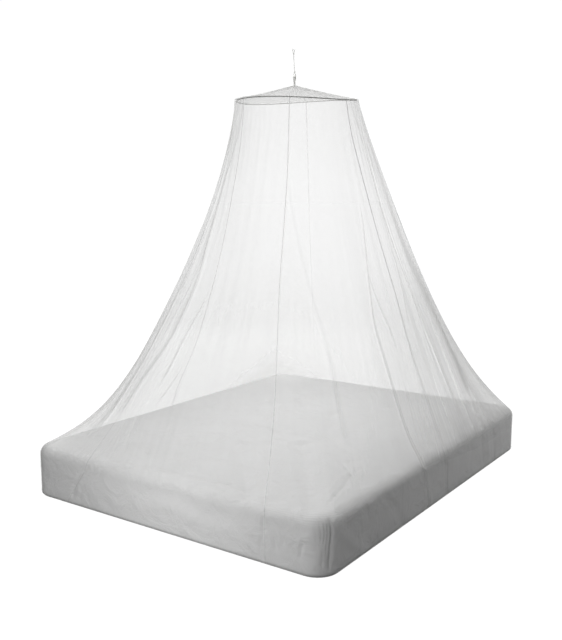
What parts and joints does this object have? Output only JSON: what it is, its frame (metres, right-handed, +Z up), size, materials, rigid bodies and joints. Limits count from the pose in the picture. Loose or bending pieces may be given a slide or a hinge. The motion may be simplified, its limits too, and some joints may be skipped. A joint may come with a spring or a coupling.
{
  "type": "mosquito net canopy with mattress",
  "caption": "Bell-shaped sheer net hung from one point on a round hoop, flaring over a double mattress and tucked under it.",
  "frame": {"origin": "on the floor, under the middle of the mattress", "axes": "+X across the mattress, +Y from its foot to its head, +Z up to the ceiling hook"},
  "size_m": [1.609, 2.009, 2.0701],
  "materials": {
    "sheer_net": "sheer fine mesh",
    "hoop_wire": "satin",
    "strap": "woven tape",
    "cord": "braided",
    "mattress_cloth": "smooth cotton"
  },
  "bodies": {
    "root": {"net_panel_1": "sheer_net", "net_panel_2": "sheer_net", "net_panel_3": "sheer_net", "net_panel_4": "sheer_net", "net_panel_5": "sheer_net", "net_panel_6": "sheer_net", "roof_gore_1": "sheer_net", "roof_gore_2": "sheer_net", "roof_gore_3": "sheer_net", "roof_gore_4": "sheer_net", "roof_gore_5": "sheer_net", "roof_gore_6": "sheer_net", "hoop": "hoop_wire", "hanging_loop": "strap", "cord_loop_bight": "cord", "cord_loop_knot": "cord", "hanging_cord": "cord", "cord_hook_knot": "cord", "cord_hook_bight": "cord", "mattress": "mattress_cloth"}
  },
  "joints": []
}
